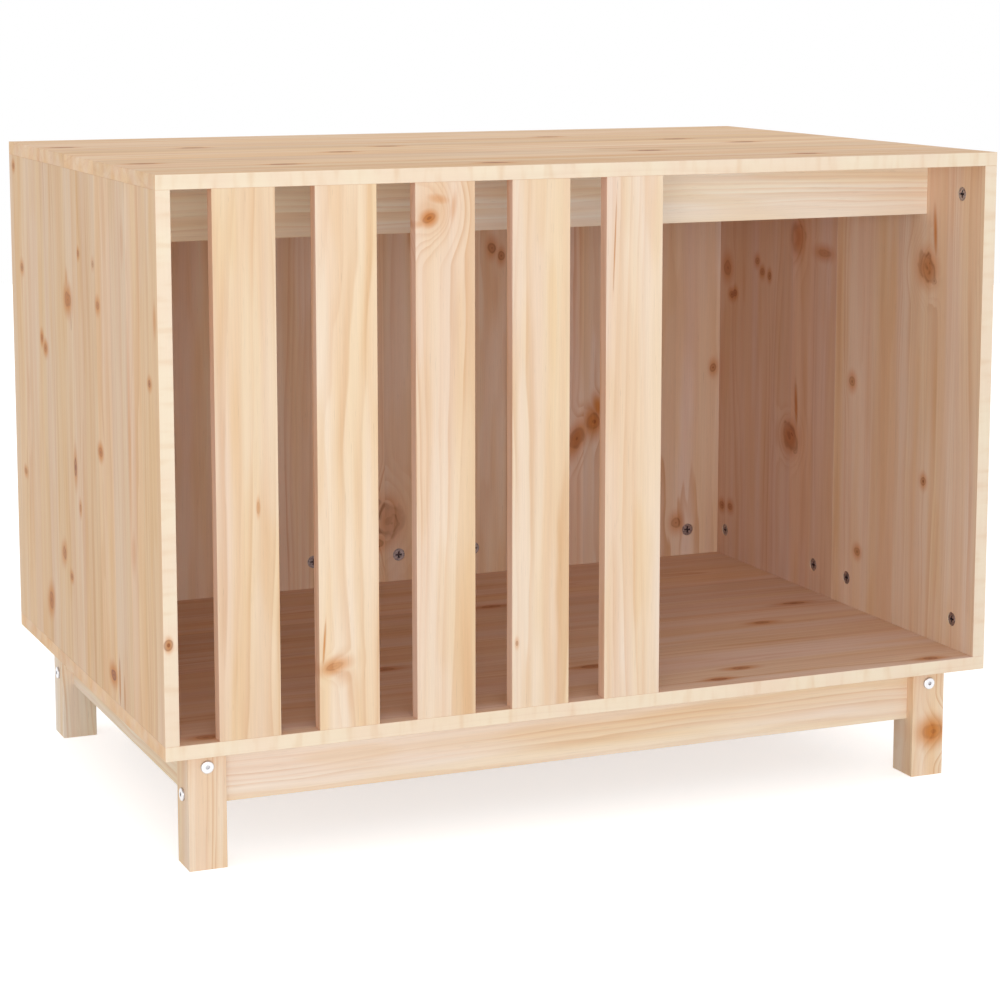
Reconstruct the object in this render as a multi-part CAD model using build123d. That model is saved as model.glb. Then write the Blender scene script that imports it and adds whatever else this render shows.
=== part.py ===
from build123d import *
import os

# A pine dog house: a box of boards with a slatted front and an open doorway, on a leg frame.
# Millimetres. X runs left to right, the front faces -Y, Z is up, and the origin is on the
# ground under the middle of the box.

# Box
WIDTH = 900
DEPTH = 600
HEIGHT = 670
BOARD = 14
EDGE_EASE = 0.4
BACK_BOARDS = 3

# Slatted front
SLATS = 5
SLAT_WIDTH = 61
SLAT_GAP = 39

# Rail under the top panel
RAIL_HEIGHT = 58
RAIL_SETBACK = 111

# Leg frame
LEG_HEIGHT = 120
LEG_SIZE = 38
LEG_INSET = 30
APRON_HEIGHT = 58

# Cam locks: a turning drum in the face of a board grips a bolt that stands in the next panel
CAM_RADIUS = 7.5
CAM_DEPTH = 10
CAM_INSET = 0.2
CAM_SETBACK = 32
CAM_EDGE = 43
CAM_WINDOW_HALF = 2.6
SIDE_CAM_SPREAD = 223
BACK_CAM_EDGES = (43, 151, 248)
CAM_RECESS = (8, 2.2, 2.6)
CAM_RIM = 5.2
CAM_RIM_STEP = 0.3
CAM_BOLT_RADIUS = 3
CAM_BOLT_THREAD = 9
CAM_BOLT_COLLAR = 3.6
CAM_BOLT_NECK = 1.6
CAM_BOLT_HEAD = 2.8
EDGE_BORE_RADIUS = 4

# Dowels
DOWEL_RADIUS = 3
DOWEL_IN_FACE = 9
DOWEL_IN_END = 20
DOWEL_IN_LEG = 12
DOWEL_FROM_CAM = 32
SLAT_DOWEL_SPREAD = 34

# Leg bolts and barrel nuts
BOLT_RADIUS = 3
BOLT_LENGTH = 75
BOLT_HEAD_RADIUS = 6.5
BOLT_HEAD_HEIGHT = 2.4
BOLT_SOCKET = 4
BOLT_SOCKET_DEPTH = 1.8
FACE_BOLT_DROP = 18
SIDE_BOLT_DROP = 48
BOLT_BORE_RADIUS = 3.5
NUT_RADIUS = 5
NUT_LENGTH = 10
NUT_SETBACK = 30
NUT_SLOT = (7, 1.2, 1)

# Screws that hold the frame under the floor
SCREW_RADIUS = 2
SCREW_HEAD_RADIUS = 3.8
SCREW_HEAD_HEIGHT = 2.6
SCREW_LENGTH = 30
SCREW_BITE = 8
SCREW_RECESS = (4, 0.9, 1.4)
LONG_APRON_SCREWS = (-250, 0, 250)
SHORT_APRON_SCREWS = (-110, 110)

# Clearance around a pin in its bore, on the radius and at the blind end
FIT = 0.1
BLIND = 0.5

X_AXIS = Vector(1, 0, 0)
Y_AXIS = Vector(0, 1, 0)
Z_AXIS = Vector(0, 0, 1)

left = -WIDTH / 2
right = WIDTH / 2
front = -DEPTH / 2
back = DEPTH / 2
floor_top = LEG_HEIGHT + BOARD
ceiling = HEIGHT - BOARD

wood = {}
cuts = {}
fasteners = {}


def board(name, low, high):
    """One planed piece of wood between two corners, with every edge eased."""
    corner_low = Vector(*low)
    corner_high = Vector(*high)
    size = corner_high - corner_low
    middle = (corner_low + corner_high) / 2
    blank = Pos(middle.X, middle.Y, middle.Z) * Box(size.X, size.Y, size.Z)
    wood[name] = fillet(blank.edges(), EDGE_EASE)
    cuts[name] = []


def rod(start, along, radius, length):
    """A cylinder that starts at a point and runs one way."""
    base = Plane(origin=start, z_dir=along)
    drum = Cylinder(radius, length, align=(Align.CENTER, Align.CENTER, Align.MIN))
    return base.location * drum


def bore(nodes, start, along, radius, length):
    """The same round hole, cut from each of the named pieces."""
    for node in nodes:
        cuts[node].append(rod(start, along, radius, length))


def add(group, solid):
    """One more fastener of a group."""
    fasteners.setdefault(group, []).append(solid)


def cross_recess(size):
    """A driver's cross, sunk from the plane of the local origin."""
    length, width, depth = size
    sunk = (Align.CENTER, Align.CENTER, Align.MAX)
    return Box(length, width, depth, align=sunk) + Box(width, length, depth, align=sunk)


def cam_lock():
    """A cam drum, its open face up at the local origin, its window towards +X."""
    drum = Cylinder(CAM_RADIUS - FIT, CAM_DEPTH, align=(Align.CENTER, Align.CENTER, Align.MAX))
    drum = chamfer(drum.edges().group_by(Axis.Z)[-1], 0.5)
    roof = -(BOARD / 2 - CAM_INSET - CAM_BOLT_HEAD - 2 * FIT)
    hung = (Align.CENTER, Align.CENTER, Align.MAX)
    pocket = Cylinder(CAM_BOLT_HEAD + 4 * FIT, CAM_DEPTH, align=hung)
    window_align = (Align.MIN, Align.CENTER, Align.MAX)
    window = Box(CAM_RADIUS + 1, 2 * CAM_WINDOW_HALF, CAM_DEPTH, align=window_align)
    rim = Cylinder(CAM_RADIUS, CAM_RIM_STEP, align=hung) - Cylinder(CAM_RIM, CAM_RIM_STEP, align=hung)
    return drum - Pos(0, 0, roof) * (pocket + window) - rim - cross_recess(CAM_RECESS)


def cam_bolt():
    """A cam bolt on +Z: thread below the joint, collar on it, then shank, neck and head."""
    shank_top = CAM_SETBACK - CAM_RADIUS - 1
    profile = Polyline(
        (0, -CAM_BOLT_THREAD),
        (CAM_BOLT_RADIUS - 0.8, -CAM_BOLT_THREAD),
        (CAM_BOLT_RADIUS, -CAM_BOLT_THREAD + 1.2),
        (CAM_BOLT_RADIUS, 0.2),
        (CAM_BOLT_COLLAR, 0.2),
        (CAM_BOLT_COLLAR, 2),
        (CAM_BOLT_RADIUS, 2.6),
        (CAM_BOLT_RADIUS, shank_top),
        (CAM_BOLT_NECK, shank_top + 1.2),
        (CAM_BOLT_NECK, CAM_SETBACK - 2),
        (CAM_BOLT_HEAD, CAM_SETBACK - 1),
        (CAM_BOLT_HEAD, CAM_SETBACK + 1),
        (CAM_BOLT_NECK, CAM_SETBACK + 2),
        (0, CAM_SETBACK + 2),
        close=True,
    )
    return revolve(Plane.XZ * make_face(profile), Axis.Z)


def cam_joint(group, panel, upright, at, up, inward):
    """Fix the end of an upright board to a panel with one cam lock and its bolt.

    at is the middle of the board's thickness on the joint, up runs into the upright board,
    and inward is the way its cam face looks.
    """
    bore([panel], at, -up, CAM_BOLT_RADIUS + FIT, CAM_BOLT_THREAD + BLIND)
    bore([upright], at, up, EDGE_BORE_RADIUS, CAM_SETBACK)
    face = at + up * CAM_SETBACK + inward * (BOARD / 2)
    bore([upright], face, -inward, CAM_RADIUS, CAM_DEPTH + BLIND)
    seat = Plane(origin=face - inward * CAM_INSET, x_dir=-up, z_dir=inward)
    add(group + "_cam_locks", seat.location * cam_lock())
    add(group + "_cam_bolts", Plane(origin=at, x_dir=inward, z_dir=up).location * cam_bolt())


def dowel_joint(group, nodes, at, along, before, after):
    """A wooden dowel across a joint, with its two blind holes drilled as one."""
    length = before + after
    pin = rod(at - along * before, along, DOWEL_RADIUS, length)
    ends = pin.edges().filter_by(GeomType.CIRCLE)
    add(group + "_dowels", chamfer(ends, 0.8))
    start = at - along * (before + BLIND)
    bore(nodes, start, along, DOWEL_RADIUS + FIT, length + 2 * BLIND)


def leg_bolt():
    """A connector bolt along +Z: a low domed head below the origin, then the shank."""
    head = Cylinder(BOLT_HEAD_RADIUS, BOLT_HEAD_HEIGHT, align=(Align.CENTER, Align.CENTER, Align.MAX))
    head = fillet(head.edges().group_by(Axis.Z)[0], 1.4)
    shank = rod(Vector(0, 0, 0), Z_AXIS, BOLT_RADIUS, BOLT_LENGTH)
    shank = chamfer(shank.edges().group_by(Axis.Z)[-1], 0.8)
    hexagon = RegularPolygon(BOLT_SOCKET / 2, 6, major_radius=False)
    socket = Pos(0, 0, -BOLT_HEAD_HEIGHT) * extrude(hexagon, BOLT_SOCKET_DEPTH)
    return head + shank - socket


def barrel_nut():
    """A barrel nut along Z, centred, with its cross hole on X and a slot in its top end."""
    barrel = Cylinder(NUT_RADIUS - FIT, NUT_LENGTH)
    barrel = chamfer(barrel.edges().filter_by(GeomType.CIRCLE), 0.5)
    hole = Rot(0, 90, 0) * Cylinder(BOLT_RADIUS + FIT, 3 * NUT_RADIUS)
    slot = Pos(0, 0, NUT_LENGTH / 2) * Box(*NUT_SLOT[:2], 2 * NUT_SLOT[2])
    return barrel - hole - slot


def bolt_joint(group, leg, apron, at, along, nut_face):
    """Bolt an apron's end to a leg. at is on the leg's outer face, along runs into the leg,
    and nut_face is the apron face that the barrel nut goes in from."""
    seat = Plane(origin=at, z_dir=along)
    add(group + "_leg_bolts", seat.location * leg_bolt())
    bore([leg], at - along, along, BOLT_BORE_RADIUS, LEG_SIZE + 2)
    apron_end = at + along * LEG_SIZE
    bore([apron], apron_end - along, along, BOLT_BORE_RADIUS, BOLT_LENGTH - LEG_SIZE + 4)
    nut_middle = apron_end + along * NUT_SETBACK
    nut_seat = Plane(origin=nut_middle, x_dir=along, z_dir=nut_face)
    add("barrel_nuts", nut_seat.location * barrel_nut())
    mouth = nut_middle + nut_face * (BOARD / 2 + 1)
    bore([apron], mouth, -nut_face, NUT_RADIUS, BOARD / 2 + 1 + NUT_LENGTH / 2 + BLIND / 2)


def wood_screw():
    """A countersunk screw along +Z, head at the origin, with a tapered tip."""
    profile = Polyline(
        (0, 0),
        (SCREW_HEAD_RADIUS, 0),
        (SCREW_RADIUS, SCREW_HEAD_HEIGHT),
        (SCREW_RADIUS, SCREW_LENGTH - 4),
        (0.4, SCREW_LENGTH),
        (0, SCREW_LENGTH),
        close=True,
    )
    body = revolve(Plane.XZ * make_face(profile), Axis.Z)
    return body - Rot(180, 0, 0) * cross_recess(SCREW_RECESS)


def screw_joint(apron, x, y):
    """Hold an apron up against the floor panel with a screw sunk deep in its lower edge."""
    head = LEG_HEIGHT + SCREW_BITE - SCREW_LENGTH
    underside = LEG_HEIGHT - APRON_HEIGHT - 1
    add("apron_screws", Pos(x, y, head) * wood_screw())
    bore([apron], Vector(x, y, underside), Z_AXIS, SCREW_HEAD_RADIUS + 0.7, head - underside)
    sink = Cone(
        SCREW_HEAD_RADIUS + FIT,
        SCREW_RADIUS + FIT,
        SCREW_HEAD_HEIGHT,
        align=(Align.CENTER, Align.CENTER, Align.MIN),
    )
    cuts[apron].append(Pos(x, y, head) * sink)
    both = [apron, "floor_panel"]
    bore(both, Vector(x, y, head), Z_AXIS, SCREW_RADIUS + FIT, SCREW_LENGTH + BLIND)


# Top and floor panels, whole boards that the uprights stand between
board("top_panel", (left, front, ceiling), (right, back, HEIGHT))
board("floor_panel", (left, front, LEG_HEIGHT), (right, back, floor_top))

# Joints between a panel and the uprights: the panel, the joint's height and the way in
panel_joints = (("floor_panel", floor_top, Z_AXIS), ("top_panel", ceiling, -Z_AXIS))

# Each side is two boards standing edge to edge, fixed by two cam locks at each end
side_board_width = DEPTH / 2
for side, outer, inward in (("left", left, X_AXIS), ("right", right, -X_AXIS)):
    inner = outer + inward.X * BOARD
    middle = (outer + inner) / 2
    for place, start in (("front", front), ("back", 0)):
        name = f"{side}_side_{place}_board"
        low = (min(outer, inner), start, floor_top)
        high = (max(outer, inner), start + side_board_width, ceiling)
        board(name, low, high)
        first = start + CAM_EDGE
        last = first + SIDE_CAM_SPREAD
        for panel, level, up in panel_joints:
            for y, step in ((first, DOWEL_FROM_CAM), (last, -DOWEL_FROM_CAM)):
                at = Vector(middle, y, level)
                cam_joint(f"{side}_side", panel, name, at, up, inward)
                beside = at + Y_AXIS * step
                dowel_joint("side", [panel, name], beside, up, DOWEL_IN_FACE, DOWEL_IN_END)

# The back is three boards between the sides, each with three cam locks at each end
back_board_width = (WIDTH - 2 * BOARD) / BACK_BOARDS
back_middle = back - BOARD / 2
for index, place in enumerate(("left", "middle", "right")):
    name = f"back_{place}_board"
    start = left + BOARD + index * back_board_width
    board(name, (start, back - BOARD, floor_top), (start + back_board_width, back, ceiling))
    for panel, level, up in panel_joints:
        for edge in BACK_CAM_EDGES:
            at = Vector(start + edge, back_middle, level)
            cam_joint("back", panel, name, at, up, -Y_AXIS)
        for edge in (BACK_CAM_EDGES[0] + DOWEL_FROM_CAM, BACK_CAM_EDGES[-1] - DOWEL_FROM_CAM):
            at = Vector(start + edge, back_middle, level)
            dowel_joint("back", [panel, name], at, up, DOWEL_IN_FACE, DOWEL_IN_END)

# Slats, flush with the front edges of the panels, on two dowels at each end
slat_middle = front + BOARD / 2
for index in range(SLATS):
    name = f"slat_{index + 1}"
    start = left + BOARD + SLAT_GAP + index * (SLAT_WIDTH + SLAT_GAP)
    board(name, (start, front, floor_top), (start + SLAT_WIDTH, front + BOARD, ceiling))
    for panel, level, up in panel_joints:
        for offset in (-SLAT_DOWEL_SPREAD / 2, SLAT_DOWEL_SPREAD / 2):
            at = Vector(start + SLAT_WIDTH / 2 + offset, slat_middle, level)
            dowel_joint("slat", [panel, name], at, up, DOWEL_IN_FACE, DOWEL_IN_END)

# Rail on edge under the top panel, between the two sides, its cam locks behind it
rail_front = front + RAIL_SETBACK
rail_low = (left + BOARD, rail_front, ceiling - RAIL_HEIGHT)
board("top_rail", rail_low, (right - BOARD, rail_front + BOARD, ceiling))
rail_middle = rail_front + BOARD / 2
for side, inward in (("left", X_AXIS), ("right", -X_AXIS)):
    name = f"{side}_side_front_board"
    joint_x = -inward.X * (WIDTH / 2 - BOARD)
    cam_at = Vector(joint_x, rail_middle, ceiling - RAIL_HEIGHT * 0.7)
    cam_joint("rail", name, "top_rail", cam_at, inward, Y_AXIS)
    dowel_at = Vector(joint_x, rail_middle, ceiling - RAIL_HEIGHT * 0.25)
    dowel_joint("rail", [name, "top_rail"], dowel_at, inward, DOWEL_IN_FACE, DOWEL_IN_END)

# Leg frame: four legs, and aprons on their centre lines between them
leg_x = WIDTH / 2 - LEG_INSET - LEG_SIZE / 2
leg_y = DEPTH / 2 - LEG_INSET - LEG_SIZE / 2
half_leg = LEG_SIZE / 2
for place, y in (("front", -leg_y), ("back", leg_y)):
    for side, x in (("left", -leg_x), ("right", leg_x)):
        low = (x - half_leg, y - half_leg, 0)
        board(f"{place}_{side}_leg", low, (x + half_leg, y + half_leg, LEG_HEIGHT))

apron_foot = LEG_HEIGHT - APRON_HEIGHT
face_bolt_z = LEG_HEIGHT - FACE_BOLT_DROP
side_bolt_z = LEG_HEIGHT - SIDE_BOLT_DROP
for place, y, inner_face in (("front", -leg_y, Y_AXIS), ("back", leg_y, -Y_AXIS)):
    name = f"{place}_apron"
    low = (-leg_x + half_leg, y - BOARD / 2, apron_foot)
    board(name, low, (leg_x - half_leg, y + BOARD / 2, LEG_HEIGHT))
    for side, along in (("left", X_AXIS), ("right", -X_AXIS)):
        leg = f"{place}_{side}_leg"
        outer_x = -along.X * (leg_x + half_leg)
        bolt_joint("side", leg, name, Vector(outer_x, y, side_bolt_z), along, inner_face)
        joint = Vector(outer_x + along.X * LEG_SIZE, y, face_bolt_z)
        dowel_joint("apron", [leg, name], joint, along, DOWEL_IN_LEG, DOWEL_IN_END)
    for x in LONG_APRON_SCREWS:
        screw_joint(name, x, y)

for side, x, inner_face in (("left", -leg_x, X_AXIS), ("right", leg_x, -X_AXIS)):
    name = f"{side}_apron"
    low = (x - BOARD / 2, -leg_y + half_leg, apron_foot)
    board(name, low, (x + BOARD / 2, leg_y - half_leg, LEG_HEIGHT))
    for place, along in (("front", Y_AXIS), ("back", -Y_AXIS)):
        leg = f"{place}_{side}_leg"
        outer_y = -along.Y * (leg_y + half_leg)
        bolt_joint("front_and_back", leg, name, Vector(x, outer_y, face_bolt_z), along, inner_face)
        joint = Vector(x, outer_y + along.Y * LEG_SIZE, side_bolt_z)
        dowel_joint("apron", [leg, name], joint, along, DOWEL_IN_LEG, DOWEL_IN_END)
    for y in SHORT_APRON_SCREWS:
        screw_joint(name, x, y)

# Drill the wood, then write every piece under its own name
os.makedirs("parts", exist_ok=True)
for name, blank in wood.items():
    drilled = blank - cuts[name] if cuts[name] else blank
    export_step(drilled, f"parts/{name}.step")
for name, solids in fasteners.items():
    export_step(Compound(children=solids), f"parts/{name}.step")
print(len(wood), "pieces of wood,", len(fasteners), "groups of fasteners")
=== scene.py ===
import math

import bmesh
import bpy
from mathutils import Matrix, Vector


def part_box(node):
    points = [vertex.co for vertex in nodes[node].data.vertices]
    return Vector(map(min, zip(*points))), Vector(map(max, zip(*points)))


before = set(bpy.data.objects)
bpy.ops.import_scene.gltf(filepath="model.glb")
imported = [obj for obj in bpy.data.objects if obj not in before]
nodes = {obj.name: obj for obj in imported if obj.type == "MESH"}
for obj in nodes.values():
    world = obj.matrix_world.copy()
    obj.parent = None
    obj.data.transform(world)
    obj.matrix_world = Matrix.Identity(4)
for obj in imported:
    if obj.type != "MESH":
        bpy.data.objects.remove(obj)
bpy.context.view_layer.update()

MM = 0.001

# Camera: just above the top panel's height, in front of the box and to its left.
# Part of the frame is lens shift, so that the box's upright edges stay nearly parallel.
CAMERA_PLACE = (-1.0996, -2.6412, 0.8321)
CAMERA_TURN = 0.39987
CAMERA_TILT = 0.14427
SENSOR_WIDTH = 36
FOCAL_LENGTH = 95.6
LENS_SHIFT_UP = -0.12

camera_data = bpy.data.cameras.new("camera")
camera_data.sensor_width = SENSOR_WIDTH
camera_data.lens = FOCAL_LENGTH
camera_data.shift_y = LENS_SHIFT_UP
camera = bpy.data.objects.new("camera", camera_data)
camera.location = CAMERA_PLACE
camera.rotation_euler = (math.pi / 2 - CAMERA_TILT, 0, -CAMERA_TURN)
bpy.context.collection.objects.link(camera)
bpy.context.scene.camera = camera
bpy.context.scene.view_settings.view_transform = "Standard"


# Studio: a pale floor, an even white surround, and one wide soft lamp in front of the box.
# The lamp stands low, so that it reaches the rail and the back under the top panel.
FLOOR_RADIUS = 5.0
FLOOR_PALE = (0.88, 0.88, 0.88, 1)
FLOOR_LIFT = 0.6
SURROUND_LIGHT = 0.74
LAMP_PLACE = (-1.2, -3.4, 0.75)
LAMP_AIM = (0.0, 0.0, 0.4)
LAMP_WIDTH = 2.2
LAMP_HEIGHT = 1.0
LAMP_WATTS = 31


def feed(tree, socket, value):
    """Give a socket a plain value or the output of another node."""
    if isinstance(value, bpy.types.NodeSocket):
        tree.links.new(value, socket)
    else:
        socket.default_value = value


def put(tree, kind, inputs=None, **settings):
    """Add a node with its settings, and feed its inputs by name or number."""
    node = tree.nodes.new("ShaderNode" + kind)
    for name, value in settings.items():
        setattr(node, name, value)
    for name, value in (inputs or {}).items():
        feed(tree, node.inputs[name], value)
    return node


def calc(tree, operation, *values):
    """One step of arithmetic."""
    return put(tree, "Math", dict(enumerate(values)), operation=operation).outputs[0]


def seen_directly(tree):
    """One where the camera, a mirror or a glass looks, nothing where light is gathered."""
    path = put(tree, "LightPath").outputs
    seen = calc(tree, "MAXIMUM", path["Is Camera Ray"], path["Is Glossy Ray"])
    return calc(tree, "MAXIMUM", seen, path["Is Transmission Ray"])


def new_material(name):
    """A material with its Principled shader, and the tree to build the finish in."""
    material = bpy.data.materials.new(name)
    material.use_nodes = True
    tree = material.node_tree
    return material, tree, tree.nodes["Principled BSDF"].inputs


world = bpy.data.worlds.new("surround")
world.use_nodes = True
surround = world.node_tree
strength = put(surround, "Mix", {0: seen_directly(surround), 2: SURROUND_LIGHT, 3: 1.0})
surround.nodes["Background"].inputs["Color"].default_value = (1, 1, 1, 1)
feed(surround, surround.nodes["Background"].inputs["Strength"], strength.outputs[0])
bpy.context.scene.world = world

floor_material, tree, shader = new_material("floor_paint")
shader["Base Color"].default_value = FLOOR_PALE
shader["Roughness"].default_value = 0.9
shader["Specular IOR Level"].default_value = 0.0
shader["Emission Color"].default_value = (1, 1, 1, 1)
lift = calc(tree, "MULTIPLY", seen_directly(tree), FLOOR_LIFT)
feed(tree, shader["Emission Strength"], lift)
floor_mesh = bmesh.new()
bmesh.ops.create_circle(floor_mesh, cap_ends=True, segments=64, radius=FLOOR_RADIUS)
floor_data = bpy.data.meshes.new("studio_floor")
floor_mesh.to_mesh(floor_data)
floor_mesh.free()
floor_data.materials.append(floor_material)
studio_floor = bpy.data.objects.new("studio_floor", floor_data)
bpy.context.collection.objects.link(studio_floor)

lamp_data = bpy.data.lights.new("soft_lamp", "AREA")
lamp_data.shape = "RECTANGLE"
lamp_data.size = LAMP_WIDTH
lamp_data.size_y = LAMP_HEIGHT
lamp_data.energy = LAMP_WATTS
lamp = bpy.data.objects.new("soft_lamp", lamp_data)
lamp.location = LAMP_PLACE
aim = tuple(to - start for to, start in zip(LAMP_AIM, LAMP_PLACE))
lamp.rotation_euler = (
    math.atan2(math.hypot(aim[0], aim[1]), -aim[2]),
    0,
    math.atan2(-aim[0], aim[1]),
)
bpy.context.collection.objects.link(lamp)


# Top panel: one edge-glued pine board, its grain running from side to side, planed, sanded
# and left bare. It lies on the uprights, and its branch knots show as dark ovals.
PINE_PALE = (247, 226, 204)
PINE_WARM = (253, 247, 232)
PINE_ROSE = (251, 245, 242)
PINE_STAIN = (246, 228, 190)
PINE_LATE = (229, 200, 170)
PINE_EDGE = (249, 236, 212)
KNOT_HALO = (226, 170, 112)
KNOT_HEART = (132, 74, 48)
STAIN_SHARE = 0.25
SOLID_TONE = 0.6
PITH_SPREAD = 190
PITH_NEAREST = 25
PITH_RANGE = 70
END_RING_SHARE = 0.3
PINE_GLOSS = 0.15
PLANED_ROUGHNESS = 0.66
FIBRE_BUMP = 0.3
FIBRE_HEIGHT = 0.0002
KNOT_RAGGED = 0.14
RIGHT_THROUGH = 1e6

# A knot from its middle out to its rim: how much of the fill, the core and the ring it has.
# Between the two, a profile entry starts with its place.
KNOT_MIDDLE = (0.75, 1.0, 0.0)
KNOT_RIM = 0.6
KNOT_PROFILE = (
    (0.1, 0.7, 1.0, 0.0),
    (0.2, 0.55, 0.15, 0.0),
    (0.34, 0.6, 0.0, 0.1),
    (0.42, 0.9, 0.0, 0.7),
    (0.49, 0.8, 0.0, 0.8),
    (0.58, 0.1, 0.0, 0.15),
)


def tint(red, green, blue):
    """A paint-chart colour of 0 to 255 as the linear colour that a shader takes."""
    return tuple((value / 255) ** 2.2 for value in (red, green, blue)) + (1,)


def level(tree, value, low, high, to_low=0.0, to_high=1.0):
    """Spread a value smoothly over a range."""
    inputs = {"Value": value, 1: low, 2: high, 3: to_low, 4: to_high}
    return put(tree, "MapRange", inputs, interpolation_type="SMOOTHSTEP").outputs[0]


def mingle(tree, share, first, second, kind="MIX"):
    """Blend two colours by a share, or multiply the first by a share of the second."""
    inputs = {0: share, 6: first, 7: second}
    return put(tree, "Mix", inputs, data_type="RGBA", blend_type=kind).outputs[2]


def vector(tree, operation, first, second, third=(0, 0, 0)):
    """One step of arithmetic on vectors."""
    inputs = {0: first, 1: second, 2: third}
    return put(tree, "VectorMath", inputs, operation=operation).outputs[0]


def stretched(tree, position, across, along, shift=0.0):
    """A board position measured in cells that are so wide and so long, in millimetres."""
    offset = put(tree, "CombineXYZ", {"X": shift, "Z": shift}).outputs[0]
    return vector(tree, "MULTIPLY_ADD", position, (1 / across, 1 / across, 1 / along), offset)


def cloud(tree, position, detail=1.0):
    """Soft noise, mostly from 0.3 to 0.7, as a value and as a colour."""
    inputs = {"Vector": position, "Scale": 1.0, "Detail": detail, "Roughness": 0.5}
    return put(tree, "TexNoise", inputs).outputs


def new_group(name, inputs, outputs):
    """A shader node group with named inputs and outputs, each with its kind of socket."""
    tree = bpy.data.node_groups.new(name, "ShaderNodeTree")
    for way, sockets in (("INPUT", inputs), ("OUTPUT", outputs)):
        for socket, kind in sockets.items():
            tree.interface.new_socket(socket, in_out=way, socket_type="NodeSocket" + kind)
    taken = tree.nodes.new("NodeGroupInput").outputs
    given = tree.nodes.new("NodeGroupOutput").inputs
    return tree, taken, given


def use(tree, group, inputs):
    """Place a node group in a material, or in another group, with its own values."""
    node = tree.nodes.new("ShaderNodeGroup")
    node.node_tree = group
    for name, value in inputs.items():
        feed(tree, node.inputs[name], value)
    return node.outputs


def build_staves():
    """Strips glued edge to edge: each has its own tone, and comes from elsewhere in a log."""
    group, taken, given = new_group(
        "pine_staves",
        {"Across": "Float", "Width": "Float", "Seed": "Float"},
        {"Tone": "Float", "Pith Across": "Float", "Pith Depth": "Float", "Seam": "Float"},
    )
    place = calc(group, "DIVIDE", taken["Across"], taken["Width"])
    strip_inputs = {
        "W": calc(group, "ADD", place, taken["Seed"]),
        "Scale": 1.0,
        "Randomness": 0.55,
    }
    strip = put(group, "TexVoronoi", strip_inputs, voronoi_dimensions="1D").outputs
    gap_settings = {"voronoi_dimensions": "1D", "feature": "DISTANCE_TO_EDGE"}
    gap = put(group, "TexVoronoi", strip_inputs, **gap_settings).outputs["Distance"]
    draw = put(group, "SeparateColor", {"Color": strip["Color"]}).outputs
    feed(group, given["Tone"], draw["Red"])
    middle = calc(group, "SUBTRACT", strip["W"], taken["Seed"])
    middle = calc(group, "MULTIPLY", middle, taken["Width"])
    sideways = calc(group, "MULTIPLY", calc(group, "SUBTRACT", draw["Green"], 0.5), PITH_SPREAD)
    feed(group, given["Pith Across"], calc(group, "ADD", middle, sideways))
    pith_depth = calc(group, "MULTIPLY_ADD", draw["Blue"], PITH_RANGE, PITH_NEAREST)
    feed(group, given["Pith Depth"], pith_depth)
    gap = calc(group, "MULTIPLY", gap, taken["Width"])
    feed(group, given["Seam"], level(group, gap, 0.1, 0.6, 1.0, 0.0))
    return group


def build_rings():
    """Year rings about a pith line, cut by the board's faces. The dark part of each ring
    builds up slowly and ends sharply. Push moves the rings outwards, round a knot."""
    group, taken, given = new_group(
        "pine_rings",
        {
            "Position": "Vector",
            "Pith Across": "Float",
            "Pith Depth": "Float",
            "Lean": "Float",
            "Spacing": "Float",
            "Sway": "Float",
            "Push": "Float",
            "Seed": "Float",
        },
        {"Late": "Float"},
    )
    place = put(group, "SeparateXYZ", {"Vector": taken["Position"]}).outputs
    broad = cloud(group, stretched(group, taken["Position"], 70, 430, taken["Seed"]), 0.0)
    close = cloud(group, stretched(group, taken["Position"], 11, 110, taken["Seed"]), 1.0)
    drift = put(group, "SeparateColor", {"Color": broad["Color"]}).outputs
    leaning = calc(group, "MULTIPLY", place["Z"], taken["Lean"])
    across = calc(group, "SUBTRACT", place["X"], taken["Pith Across"])
    across = calc(group, "SUBTRACT", across, leaning)
    depth = calc(group, "SUBTRACT", place["Y"], taken["Pith Depth"])
    sideways = calc(group, "SUBTRACT", drift["Red"], 0.5)
    across = calc(group, "MULTIPLY_ADD", sideways, taken["Sway"], across)
    inwards = calc(group, "SUBTRACT", drift["Green"], 0.5)
    depth = calc(group, "MULTIPLY_ADD", inwards, taken["Sway"], depth)
    radius = calc(group, "MULTIPLY", across, across)
    radius = calc(group, "SQRT", calc(group, "MULTIPLY_ADD", depth, depth, radius))
    radius = calc(group, "ADD", radius, taken["Push"])
    radius = calc(group, "MULTIPLY_ADD", close[0], 5.0, radius)
    years = calc(group, "DIVIDE", radius, taken["Spacing"])
    rhythm_inputs = {
        "W": calc(group, "MULTIPLY_ADD", years, 0.43, taken["Seed"]),
        "Scale": 1.0,
        "Detail": 1.0,
    }
    rhythm = put(group, "TexNoise", rhythm_inputs, noise_dimensions="1D").outputs[0]
    years = calc(group, "MULTIPLY_ADD", rhythm, 2.0, years)
    ring_seed = calc(group, "ADD", calc(group, "FLOOR", years), taken["Seed"])
    strong = put(group, "TexWhiteNoise", {"W": ring_seed}, noise_dimensions="1D").outputs[0]
    part = calc(group, "FRACT", years)
    late = calc(group, "POWER", level(group, part, 0.1, 0.9), 1.7)
    late = calc(group, "MULTIPLY", late, level(group, part, 0.88, 1.0, 1.0, 0.0))
    late = calc(group, "MULTIPLY", late, level(group, strong, 0.1, 1.0, 0.35, 1.0))
    fade = cloud(group, stretched(group, taken["Position"], 30, 240, taken["Seed"]), 1.0)[0]
    late = calc(group, "MULTIPLY", late, level(group, fade, 0.34, 0.62, 0.35, 1.0))
    feed(group, given["Late"], late)
    return group


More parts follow.
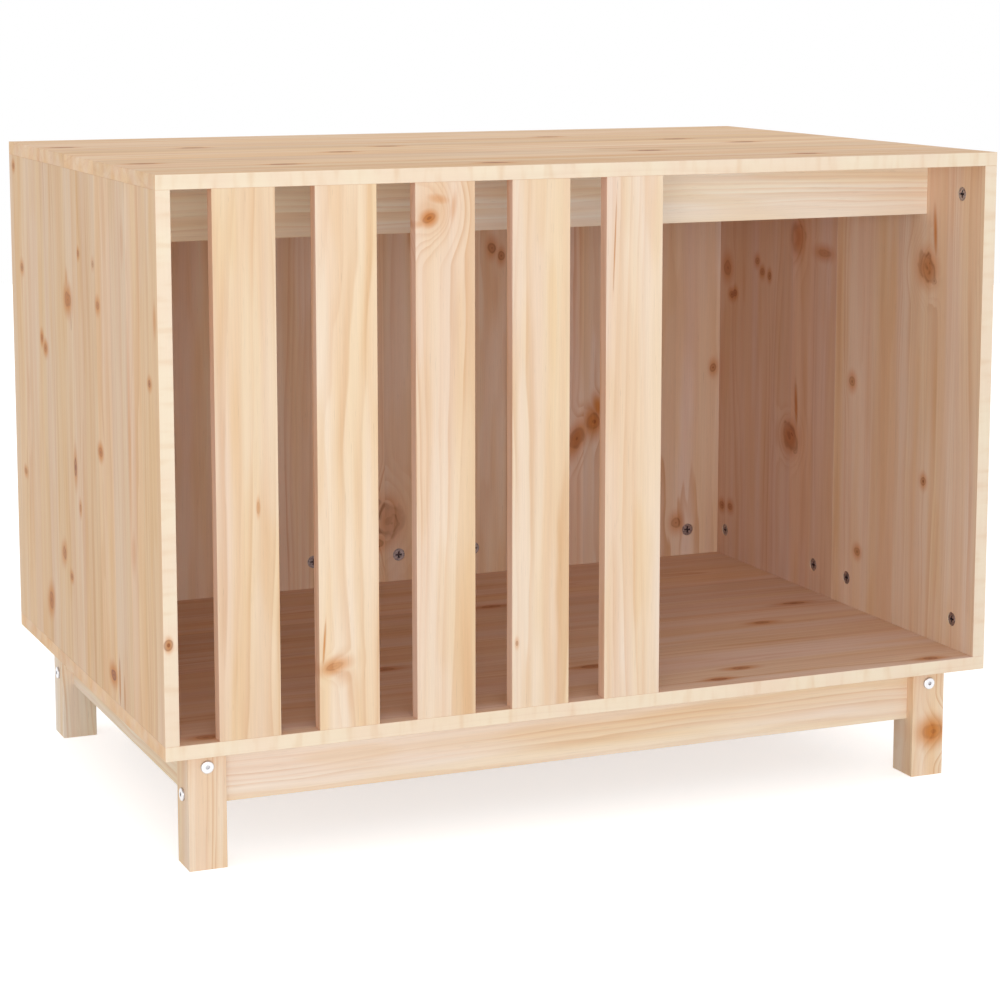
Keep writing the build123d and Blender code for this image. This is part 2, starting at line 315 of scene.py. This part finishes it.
def build_knot():
    """One knot, added to those before it. Its heart has a dark core, a fill and a broken ring
    that is darkest on one side, and the grain draws a halo out round it. The grain parts
    about it by the bend, and the push closes the nearest rings about it."""
    running = {"Grain": "Vector", "Heart": "Float", "Halo": "Float", "Push": "Float"}
    group, taken, given = new_group(
        "pine_knot",
        {
            "Position": "Vector",
            "Ragged": "Float",
            **running,
            "Place": "Vector",
            "Size": "Vector",
            "Turn": "Vector",
            "Reach": "Vector",
            "Dark Side": "Vector",
            "Fill": "Float",
            "Core": "Float",
            "Ring": "Float",
            "Glow": "Float",
            "Bend": "Float",
            "Swing": "Float",
        },
        running,
    )
    inputs = {
        "Vector": taken["Position"],
        "Location": taken["Place"],
        "Rotation": taken["Turn"],
        "Scale": taken["Size"],
    }
    near = put(group, "Mapping", inputs, vector_type="TEXTURE").outputs[0]
    distance = put(group, "VectorMath", {0: near}, operation="LENGTH").outputs["Value"]
    ragged = calc(group, "MULTIPLY", calc(group, "ADD", distance, taken["Ragged"]), 0.5)
    profile = put(group, "ValToRGB", {"Fac": ragged})
    stops = profile.color_ramp.elements
    stops[0].color = (*KNOT_MIDDLE, 1)
    stops[1].position = KNOT_RIM
    stops[1].color = (0, 0, 0, 1)
    for position, fill, core, ring in KNOT_PROFILE:
        stops.new(position).color = (fill, core, ring, 1)
    parts = put(group, "SeparateColor", {"Color": profile.outputs[0]}).outputs
    aside = put(group, "VectorMath", {0: near, 1: taken["Dark Side"]}, operation="DOT_PRODUCT")
    ring = level(group, aside.outputs["Value"], -0.9, 0.7, 0.15, 1.0)
    ring = calc(group, "MULTIPLY", calc(group, "MULTIPLY", parts["Blue"], taken["Ring"]), ring)
    fill = calc(group, "MULTIPLY", parts["Red"], taken["Fill"])
    core = calc(group, "MULTIPLY", parts["Green"], taken["Core"])
    heart = calc(group, "MAXIMUM", calc(group, "MAXIMUM", fill, core), ring)
    wide = vector(group, "DIVIDE", near, taken["Reach"])
    wide = put(group, "VectorMath", {0: wide}, operation="LENGTH").outputs["Value"]
    halo = level(group, wide, 0.1, 0.8, taken["Glow"], 0.0)
    bend = level(group, wide, 0.0, 1.3, taken["Bend"], 0.0)
    push = level(group, wide, 0.0, 1.3, taken["Swing"], 0.0)
    outwards = vector(group, "SUBTRACT", taken["Place"], taken["Position"])
    across = put(group, "CombineXYZ", {"X": bend}).outputs[0]
    feed(group, given["Grain"], vector(group, "MULTIPLY_ADD", outwards, across, taken["Grain"]))
    feed(group, given["Heart"], calc(group, "MAXIMUM", heart, taken["Heart"]))
    feed(group, given["Halo"], calc(group, "MAXIMUM", halo, taken["Halo"]))
    feed(group, given["Push"], calc(group, "ADD", push, taken["Push"]))
    return group


def build_colour():
    """The colour and gloss of planed pine from its rings, tones, knots and fibres."""
    group, taken, given = new_group(
        "pine_colour",
        {
            "Position": "Vector",
            "Late": "Float",
            "Tone": "Float",
            "Seam": "Float",
            "Heart": "Float",
            "Halo": "Float",
            "Seed": "Float",
            "Ring Depth": "Float",
            "Pale": "Color",
        },
        {"Color": "Color", "Roughness": "Float"},
    )
    position = taken["Position"]
    other_seed = calc(group, "ADD", taken["Seed"], 40)
    veil = cloud(group, stretched(group, position, 30, 520, taken["Seed"]))[0]
    flush = cloud(group, stretched(group, position, 18, 380, other_seed))[0]
    stain = cloud(group, stretched(group, position, 14, 130, other_seed), 0.0)[0]
    veil = level(group, veil, 0.36, 0.64)
    flush = level(group, flush, 0.4, 0.66)
    stain = level(group, stain, 0.5, 0.72, 0.0, STAIN_SHARE)
    colour = mingle(group, veil, taken["Pale"], tint(*PINE_WARM), "MULTIPLY")
    colour = mingle(group, flush, colour, tint(*PINE_ROSE), "MULTIPLY")
    colour = mingle(group, stain, colour, tint(*PINE_STAIN), "MULTIPLY")
    ring_share = calc(group, "MULTIPLY", taken["Late"], taken["Ring Depth"])
    colour = mingle(group, ring_share, colour, tint(*PINE_LATE), "MULTIPLY")
    shade = level(group, taken["Tone"], 0.0, 1.0, 0.955, 1.03)
    shade = calc(group, "MULTIPLY_ADD", taken["Seam"], -0.05, shade)
    fibre = cloud(group, stretched(group, position, 1.1, 60, taken["Seed"]))[0]
    shade = calc(group, "ADD", shade, level(group, fibre, 0.3, 0.7, -0.02, 0.02))
    dash = cloud(group, stretched(group, position, 0.6, 16, taken["Seed"]), 0.0)[0]
    shade = calc(group, "SUBTRACT", shade, level(group, dash, 0.74, 0.86, 0.0, 0.12))
    colour = put(group, "VectorMath", {0: colour, "Scale": shade}, operation="SCALE").outputs[0]
    colour = mingle(group, taken["Halo"], colour, tint(*KNOT_HALO), "MULTIPLY")
    heart = calc(group, "MULTIPLY", taken["Heart"], level(group, taken["Late"], 0.0, 0.5, 0.6, 1.0))
    colour = mingle(group, heart, colour, tint(*KNOT_HEART))
    feed(group, given["Color"], colour)
    rough = calc(group, "MULTIPLY_ADD", taken["Late"], -0.08, PLANED_ROUGHNESS)
    feed(group, given["Roughness"], calc(group, "MULTIPLY_ADD", taken["Heart"], -0.16, rough))
    return group


def build_edge():
    """The planed edge of a panel: pale, with soft bands that cross its thickness."""
    group, taken, given = new_group(
        "pine_edge",
        {
            "Color": "Color",
            "Position": "Vector",
            "Normal": "Vector",
            "Halo": "Float",
            "Heart": "Float",
            "Seed": "Float",
        },
        {"Color": "Color"},
    )
    facing = put(group, "SeparateXYZ", {"Vector": taken["Normal"]}).outputs["X"]
    on_edge = level(group, calc(group, "ABSOLUTE", facing), 0.5, 0.9)
    band = cloud(group, stretched(group, taken["Position"], 60, 13, taken["Seed"]), 2.0)[0]
    patch = cloud(group, stretched(group, taken["Position"], 90, 46, taken["Seed"]), 0.0)[0]
    edge = mingle(group, level(group, patch, 0.35, 0.65, 0.0, 0.6), tint(*PINE_EDGE), tint(*PINE_PALE))
    edge = mingle(group, level(group, band, 0.46, 0.76, 0.0, 0.36), edge, tint(*PINE_LATE), "MULTIPLY")
    edge = mingle(group, taken["Halo"], edge, tint(*KNOT_HALO), "MULTIPLY")
    edge = mingle(group, taken["Heart"], edge, tint(*KNOT_HEART))
    edge = mingle(group, 0.8, taken["Color"], edge)
    feed(group, given["Color"], mingle(group, on_edge, taken["Color"], edge))
    return group


def build_relief():
    """The raised fibres that planing leaves, as the height of the surface."""
    group, taken, given = new_group(
        "pine_relief",
        {"Position": "Vector", "Seed": "Float"},
        {"Height": "Float"},
    )
    fibre = cloud(group, stretched(group, taken["Position"], 0.7, 30, taken["Seed"]), 1.0)[0]
    feed(group, given["Height"], fibre)
    return group


pine_staves = build_staves()
pine_rings = build_rings()
pine_knot = build_knot()
pine_colour = build_colour()
pine_edge = build_edge()
pine_relief = build_relief()


def knot(
    across,
    along,
    width=5,
    length=4,
    turn=0,
    fill=0.6,
    core=0.8,
    ring=0.6,
    glow=0.7,
    bend=0.7,
    swing=0,
    reach=3.2,
    dark_side=(0, 1),
    through=0,
    depth=RIGHT_THROUGH,
):
    """A knot on a board's face: its place, half width and half length in millimetres, its
    turn in degrees, and how far round it the grain bends, in its own sizes. One that shows
    on an edge is given its place and half size through the board too."""
    return {
        "Place": (across, through, along),
        "Size": (width, depth, length),
        "Turn": (0, math.radians(turn), 0),
        "Reach": (reach, reach, reach * 1.5),
        "Dark Side": (dark_side[0], 0, dark_side[1]),
        "Fill": fill,
        "Core": core,
        "Ring": ring,
        "Glow": glow,
        "Bend": bend,
        "Swing": swing,
    }


def streak(across, along, width, length, turn=0, dark=0.0, glow=0.5):
    """A stain or a resin line that runs with the grain and doesn't bend it."""
    return knot(across, along, width, length, turn, dark, 0.0, 0.0, glow, bend=0.0, reach=1.3)


def finish_node(node, material):
    """Give a node of the frame its material."""
    nodes[node].data.materials.clear()
    nodes[node].data.materials.append(material)


def pine(
    node,
    axes,
    seed,
    knots=(),
    stave=None,
    pith=(90, 60),
    lean=0.0,
    spacing=6.0,
    sway=22,
    ring_depth=0.7,
    pale=PINE_PALE,
    inner_light_and_shade=None,
    inwards=(0, 1, 0),
    turned_from=0.6,
    edge=False,
):
    """Give a board its pine. axes names the ways across the board, through it and along its
    grain. A board of glued staves has their usual width, and a solid one its own pith,
    measured through the board from its middle. The faces that look inwards, further than
    turned_from, take a colour of painted light and shade, and a sawn end shows its rings faintly."""
    material, tree, shader = new_material(f"pine_{node}")
    shader["Specular IOR Level"].default_value = PINE_GLOSS
    coordinates = put(tree, "TexCoord").outputs
    ways = put(tree, "SeparateXYZ", {"Vector": coordinates["Object"]}).outputs
    turned = put(tree, "CombineXYZ", {i: ways[axis.upper()] for i, axis in enumerate(axes)}).outputs[0]
    through = "xyz".index(axes[1])
    middle = sum(corner[through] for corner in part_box(node)) / 2
    position = vector(tree, "MULTIPLY_ADD", turned, (1 / MM, 1 / MM, 1 / MM), (0, -middle / MM, 0))
    ways = put(tree, "SeparateXYZ", {"Vector": coordinates["Normal"]}).outputs
    facing = put(tree, "CombineXYZ", {i: ways[axis.upper()] for i, axis in enumerate(axes)}).outputs[0]
    ragged = cloud(tree, stretched(tree, position, 9, 11, float(seed)), 0.0)[0]
    ragged = level(tree, ragged, 0.25, 0.75, -KNOT_RAGGED, KNOT_RAGGED)
    sums = {"Grain": position, "Heart": 0.0, "Halo": 0.0, "Push": 0.0}
    for entry in knots:
        given = use(tree, pine_knot, {"Position": position, "Ragged": ragged, **sums, **entry})
        sums = {key: given[key] for key in sums}
    log = {"Pith Across": float(pith[0]), "Pith Depth": float(pith[1])}
    tones = {"Tone": SOLID_TONE, "Seam": 0.0}
    if stave:
        across = put(tree, "SeparateXYZ", {"Vector": position}).outputs["X"]
        strips = use(tree, pine_staves, {"Across": across, "Width": stave, "Seed": float(seed)})
        log = {key: strips[key] for key in log}
        tones = {key: strips[key] for key in tones}
    rings = {
        "Position": sums["Grain"],
        **log,
        "Lean": lean,
        "Spacing": spacing,
        "Sway": sway,
        "Push": sums["Push"],
        "Seed": float(seed),
    }
    late = use(tree, pine_rings, rings)["Late"]
    ground = tint(*pale)
    # Painted light and shade: the faces that look inwards take their own colour in place of the pale
    # one.
    if inner_light_and_shade:
        inner = put(tree, "VectorMath", {0: facing, 1: inwards}, operation="DOT_PRODUCT")
        inner = level(tree, inner.outputs["Value"], turned_from - 0.1, turned_from + 0.1)
        ground = mingle(tree, inner, ground, tint(*inner_light_and_shade))
    along = calc(tree, "ABSOLUTE", put(tree, "SeparateXYZ", {"Vector": facing}).outputs["Z"])
    ring_share = level(tree, along, 0.5, 0.9, ring_depth, END_RING_SHARE * ring_depth)
    finish = use(tree, pine_colour, {
        "Position": position,
        "Late": late,
        **tones,
        "Heart": sums["Heart"],
        "Halo": sums["Halo"],
        "Seed": float(seed),
        "Ring Depth": ring_share,
        "Pale": ground,
    })
    colour = finish["Color"]
    if edge:
        edge_inputs = {
            "Color": colour,
            "Position": position,
            "Normal": facing,
            "Halo": sums["Halo"],
            "Heart": sums["Heart"],
            "Seed": float(seed),
        }
        colour = use(tree, pine_edge, edge_inputs)["Color"]
    feed(tree, shader["Base Color"], colour)
    feed(tree, shader["Roughness"], finish["Roughness"])
    height = use(tree, pine_relief, {"Position": position, "Seed": float(seed)})["Height"]
    bump_inputs = {"Height": height, "Strength": FIBRE_BUMP, "Distance": FIBRE_HEIGHT}
    relief = put(tree, "Bump", bump_inputs)
    feed(tree, shader["Normal"], relief.outputs[0])
    finish_node(node, material)


TOP_KNOTS = (
    (158, -425),
    (-141, -418),
    (-201, -294),
    (99, -297),
    (48, -95),
    (-30, -176),
    (-256, -97),
    (154, 141),
    (-130, 132),
    (58, 256),
    (-242, 257),
    (-25, 299),
)
TOP_PALE = (248, 216, 184)
# Painted shade: the underside of the top panel takes a darker colour.
TOP_UNDERSIDE_SHADE = (240, 208, 182)
top_knots = [knot(y, x, 8, 12, fill=0.7, glow=0.8, reach=2.4) for y, x in TOP_KNOTS]
pine(
    "top_panel",
    "yzx",
    3,
    top_knots,
    stave=62,
    pale=TOP_PALE,
    inner_light_and_shade=TOP_UNDERSIDE_SHADE,
    inwards=(0, -1, 0),
    edge=True,
)


# Floor panel: a board like the top, under the uprights, with its grain from side to side.
# Painted shade: the floor panel's upper face, inside the box, takes a darker, rosier colour.
FLOOR_INSIDE_SHADE = (234, 205, 188)
floor_knots = [
    knot(-3, 385, 5, 12),
    knot(-74, 305, 5, 9),
    knot(-245, 186, 5, 9),
    knot(-276, 145, 5, 8),
    knot(117, 55, 6, 12),
    knot(-179, 48, 6, 12),
    knot(-105, -159, 6, 10),
    knot(-286, 392, 5, 8),
    knot(-280, -405, 6, 9),
]
pine(
    "floor_panel",
    "yzx",
    11,
    floor_knots,
    stave=70,
    pale=TOP_PALE,
    inner_light_and_shade=FLOOR_INSIDE_SHADE,
    edge=True,
)


# Sides: two boards edge to edge on each side, between the floor and the top, grain upright.
# Their front edges show as a pale strip beside the slats and the doorway.
SIDE_PALE = (242, 213, 184)
# The inner faces of the sides: painted light on the front boards, painted shade on the back boards.
SIDE_INSIDE_LIGHT_AND_SHADE = {"front": (250, 225, 203), "back": (234, 204, 189)}
left_knots = [
    knot(280, 644, 5, 3),
    knot(250, 534, 6, 4),
    streak(252, 528, 3, 40, glow=0.4),
    knot(42, 520, 11, 7, glow=0.9, ring=0.8),
    streak(46, 538, 8, 14, glow=0.6),
    knot(-6, 572, 4, 3),
    knot(-65, 567, 4, 3, glow=0.4),
    knot(-81, 527, 6, 4),
    streak(30, 500, 2, 9, dark=0.35),
    knot(146, 457, 7, 4, fill=0.4, glow=0.9),
    knot(162, 466, 5, 4, fill=0.3, glow=0.9),
    streak(-290, 535, 8, 16, glow=0.5),
    knot(-269, 474, 5, 3),
    knot(255, 305, 6, 3),
    knot(24, 347, 5, 9, fill=0.8, core=1.0),
    knot(-81, 380, 7, 4, glow=0.9),
    knot(7, 307, 4, 4, fill=0.3, core=0.4),
    knot(82, 246, 7, 6, turn=-30, ring=0.8),
    knot(51, 226, 5, 3),
    knot(147, 181, 9, 8, turn=-30, ring=0.9, glow=0.8),
    knot(-114, 160, 9, 5, fill=0.9, core=1.0, glow=0.9),
    streak(-138, 158, 4, 24, dark=0.25, glow=0.9),
    streak(-156, 148, 3, 18, dark=0.15, glow=0.7),
    streak(-192, 430, 10, 110, glow=0.35),
    streak(-200, 300, 14, 20, glow=0.35),
    streak(-178, 600, 8, 24, glow=0.3),
    knot(-300, 232, 6, 5, through=-2, depth=4, glow=0.9, ring=0.3, bend=0.0, reach=2.0),
]
WHORL = {"turn": -40, "core": 0.9, "glow": 0.8, "swing": 22, "reach": 2.2, "dark_side": (-0.3, 1)}
WHORL_HEART = {"turn": -40, "fill": 0.4, "core": 0.9, "ring": 0.8, "bend": 0.0, "glow": 0.1}
right_knots = [
    knot(-192, 540, 19, 13, fill=0.5, ring=0.8, **WHORL),
    knot(-197, 545, 8, 4, **WHORL_HEART),
    knot(-207, 527, 5, 3, fill=0.5, core=0.8, bend=0.0, glow=0.2),
    knot(104, 309, 19, 13, fill=0.55, ring=0.85, **WHORL),
    knot(99, 313, 8, 4, **WHORL_HEART),
    knot(91, 295, 5, 4, fill=0.6, core=0.8, bend=0.0, glow=0.2),
    knot(91, 549, 17, 16, fill=0.15, core=0.1, ring=0.3, swing=16, reach=2.0),
    knot(30, 536, 14, 4, fill=0.35, core=0.3, ring=0.2),
    knot(-39, 395, 6, 5),
    knot(191, 512, 5, 4),
    knot(178, 500, 5, 4),
    knot(160, 497, 4, 4),
    knot(256, 465, 6, 4),
    knot(267, 497, 9, 8),
    knot(247, 467, 5, 4),
    knot(-194, 306, 5, 4),
    knot(-57, 201, 6, 4),
    knot(253, 198, 6, 4),
    knot(275, 196, 6, 4),
    streak(-207, 580, 5, 26, turn=4, dark=0.1, glow=0.9),
    streak(90, 350, 5, 26, turn=4, dark=0.2, glow=0.9),
]


def within(knots, low, high):
    """The knots whose middles lie on a board that reaches across from low to high."""
    return [entry for entry in knots if low <= entry["Place"][0] <= high]


for side, seed, knots, inward in (("left", 21, left_knots, 1), ("right", 31, right_knots, -1)):
    for index, (place, inner_light_and_shade) in enumerate(SIDE_INSIDE_LIGHT_AND_SHADE.items()):
        board = f"{side}_side_{place}_board"
        low, high = (corner.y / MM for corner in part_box(board))
        pine(
            board,
            "yxz",
            seed + 5 * index,
            within(knots, low, high),
            stave=58,
            ring_depth=0.5,
            pale=SIDE_PALE,
            inner_light_and_shade=inner_light_and_shade,
            inwards=(0, inward, 0),
            edge=True,
        )


# Back: three boards side by side between the sides, grain upright.
# Painted light: the inner faces of the back boards take a lighter colour.
BACK_INSIDE_LIGHT = {"left": (255, 233, 214), "middle": (255, 233, 214), "right": (243, 220, 205)}
SWUNG_LEFT = {"swing": 20, "reach": 2.2, "dark_side": (-1, 0)}
back_knots = [
    knot(-6, 209, 17, 19, fill=0.4, core=0.5, ring=0.9, glow=0.5, **SWUNG_LEFT),
    knot(-3, 205, 9, 10, fill=0.2, core=0.6, ring=0.7, glow=0.2, bend=0.0, dark_side=(1, 0)),
    knot(-26, 232, 9, 6, fill=0.6, core=0.4, ring=0.3, glow=0.4),
    knot(-24, 182, 9, 5, fill=0.7, core=0.6),
    knot(127, 531, 5, 6, fill=0.8),
    knot(139, 521, 4, 5, fill=0.8),
    knot(240, 292, 8, 12, turn=30, fill=0.5, core=0.7, glow=0.9, swing=14),
    knot(262, 312, 9, 9, fill=0.4, core=0.8, glow=1.0),
    streak(268, 330, 12, 18, turn=-10, glow=1.0),
    knot(377, 176, 6, 6),
    knot(427, 370, 4, 5),
    knot(-372, 470, 5, 6),
]
for index, (place, inner_light_and_shade) in enumerate(BACK_INSIDE_LIGHT.items()):
    board = f"back_{place}_board"
    low, high = (corner.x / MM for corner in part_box(board))
    pine(
        board,
        "xyz",
        41 + 3 * index,
        within(back_knots, low, high),
        stave=66,
        pale=SIDE_PALE,
        inner_light_and_shade=inner_light_and_shade,
        inwards=(0, -1, 0),
    )


# Slats: five upright strips of solid pine, flush with the front edges of the panels.
# Painted shade: every face of a slat but its front takes a rosier, darker colour.
SLAT_SIDES_SHADE = (247, 211, 188)
LEFT_EDGE = {"reach": 2.5, "dark_side": (-1, 0)}
FLAT_OVAL = {"turn": -14, "ring": 0.0, "swing": 8, "reach": 3.6}
TILTED_OVAL = {"turn": -25, "ring": 0.0, "swing": 10, "reach": 3.2}
GRAIN_ONLY = {"fill": 0.0, "core": 0.0, "ring": 0.0, "swing": 30, "reach": 2.2}
slats = [
    {
        "pith": (-440, 45),
        "lean": 0.01,
        "pale": (243, 222, 200),
        "knots": [
            knot(-356, 356, 1.6, 5, fill=0.25, core=0.2, ring=0.5, glow=0.6, **LEFT_EDGE),
        ],
    },
    {
        "pith": (-320, 50),
        "lean": 0.01,
        "pale": (247, 226, 203),
        "knots": [
            knot(-281, 196, 9, 3, fill=0.3, core=0.3, glow=0.8, bend=0.5, **FLAT_OVAL),
            streak(-292, 218, 1.6, 22, turn=4, dark=0.2, glow=0.9),
            streak(-272, 184, 16, 9, turn=10, glow=0.25),
            streak(-262, 170, 14, 22, glow=0.12),
        ],
    },
    {
        "pith": (-70, 60),
        "lean": 0.0,
        "pale": (245, 223, 200),
        "knots": [
            knot(-183, 622, 6, 3.5, fill=0.35, core=0.6, glow=1.0, bend=0.3, **TILTED_OVAL),
            streak(-192, 617, 11, 4, turn=-15, glow=0.5),
            knot(-176, 630, 16, 14, glow=0.2, bend=0.2, **GRAIN_ONLY),
            streak(-174, 640, 17, 5, turn=12, glow=0.6),
            streak(-158, 632, 5, 14, turn=8, glow=0.4),
        ],
    },
    {
        "pith": (-40, 50),
        "lean": 0.004,
        "pale": (245, 224, 201),
        "knots": [knot(-92, 200, 1.5, 2.5, glow=0.5)],
    },
    {
        "pith": (110, 60),
        "lean": -0.006,
        "pale": (246, 226, 207),
        "knots": [streak(12, 590, 0.9, 44, turn=2, dark=0.3, glow=0.8)],
    },
]
for index, values in enumerate(slats):
    pine(
        f"slat_{index + 1}",
        "xyz",
        61 + 2 * index,
        spacing=9.0,
        sway=34,
        ring_depth=0.55,
        inner_light_and_shade=SLAT_SIDES_SHADE,
        turned_from=-0.4,
        **values,
    )


# Top rail: a board on edge under the top panel, grain from side to side.
RAIL_PALE = (255, 247, 231)
pine("top_rail", "zyx", 81, pith=(560, 30), pale=RAIL_PALE, ring_depth=0.5)


# Legs and aprons: four square legs with aprons on their middle lines between them.
APRON_PALE = (252, 239, 224)
APRON_WAYS = {"front": "zyx", "back": "zyx", "left": "zxy", "right": "zxy"}
LEGS = ("front_left", "front_right", "back_left", "back_right")
leg_knots = {
    "front_right": [knot(407, 48, 12, 7, fill=0.35, core=0.5, ring=0.4, glow=1.0, swing=12)],
}
for index, leg in enumerate(LEGS):
    x_low, x_high = (corner.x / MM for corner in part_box(f"{leg}_leg"))
    leg_pith = ((x_low + x_high) / 2 + 60, 40)
    # Painted light: the back-left leg, in the shade under the body, takes the paler apron colour.
    leg_pale = APRON_PALE if leg == "back_left" else PINE_PALE
    knots = leg_knots.get(leg, [])
    pine(f"{leg}_leg", "xyz", 91 + index, knots, pith=leg_pith, spacing=5.0, pale=leg_pale)
for index, (apron, axes) in enumerate(APRON_WAYS.items()):
    pine(f"{apron}_apron", axes, 101 + index, pith=(20, 60), pale=APRON_PALE, ring_depth=0.5)


# Cam locks and their bolts, leg bolts, barrel nuts and screws, of zinc and zinc-plated steel,
# and the beech dowels. A cam lock is die-cast and speckled. The recess of a cam lock and the
# sunk parts of a leg bolt get painted shade.
CAM_ZINC = (206, 196, 200)
CAM_SHADE = (98, 88, 92)
CAM_FACES = {"left_side": ("X", 1), "right_side": ("X", -1), "back": ("Y", -1), "rail": ("Y", 1)}
BRIGHT_ZINC = (234, 235, 238)
BRIGHT_SHADE = (198, 198, 202)
BOLT_WAYS = {"side": "X", "front_and_back": "Y"}
STEEL = (208, 205, 198)
DOWEL_BEECH = (232, 200, 160)


def metal(name, colour, roughness, mottle, speck=900.0):
    """Bare or plated metal with a slight mottle in its tone and gloss."""
    material, tree, shader = new_material(name)
    position = put(tree, "TexCoord").outputs["Object"]
    grain = put(tree, "TexNoise", {"Vector": position, "Scale": speck, "Detail": 3.0}).outputs[0]
    dull = tint(*(value * (1 - mottle) for value in colour))
    feed(tree, shader["Base Color"], mingle(tree, level(tree, grain, 0.3, 0.7), dull, tint(*colour)))
    shader["Metallic"].default_value = 1.0
    feed(tree, shader["Roughness"], level(tree, grain, 0.3, 0.7, roughness + 0.1, roughness))
    return material


def shade_recess(material, node, axis, outwards, shade):
    """Paint shade onto a metal below the outer face of its heads. They look along an axis, one
    way, or both ways where outwards is zero."""
    tree = material.node_tree
    base = tree.nodes["Principled BSDF"].inputs["Base Color"]
    place = put(tree, "TexCoord").outputs["Object"]
    place = put(tree, "SeparateXYZ", {"Vector": place}).outputs[axis]
    place = calc(tree, "MULTIPLY", place, outwards) if outwards else calc(tree, "ABSOLUTE", place)
    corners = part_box(node)
    face = max(corner["XYZ".index(axis)] * (outwards or 1) for corner in corners)
    depth = calc(tree, "MULTIPLY", calc(tree, "SUBTRACT", face, place), 1 / MM)
    # Painted shade: darker from 0.1 mm below the face, fully dark at 1.4 mm.
    painted_shade_share = level(tree, depth, 0.1, 1.4)
    feed(tree, base, mingle(tree, painted_shade_share, base.links[0].from_socket, tint(*shade)))


for group, (axis, outwards) in CAM_FACES.items():
    locks = f"{group}_cam_locks"
    cam_zinc = metal(locks, CAM_ZINC, roughness=0.4, mottle=0.3, speck=700.0)
    shade_recess(cam_zinc, locks, axis, outwards, CAM_SHADE)
    finish_node(locks, cam_zinc)
for group, axis in BOLT_WAYS.items():
    bolts = f"{group}_leg_bolts"
    bright_zinc = metal(bolts, BRIGHT_ZINC, roughness=0.3, mottle=0.05)
    shade_recess(bright_zinc, bolts, axis, 0, BRIGHT_SHADE)
    finish_node(bolts, bright_zinc)
steel = metal("fastener_steel", STEEL, roughness=0.35, mottle=0.06)
for name in nodes:
    if name.endswith("_dowels"):
        pine(name, "xyz", 131, pith=(0, 400), spacing=1.5, pale=DOWEL_BEECH)
    elif name.endswith(("_cam_bolts", "_nuts", "_screws")):
        finish_node(name, steel)
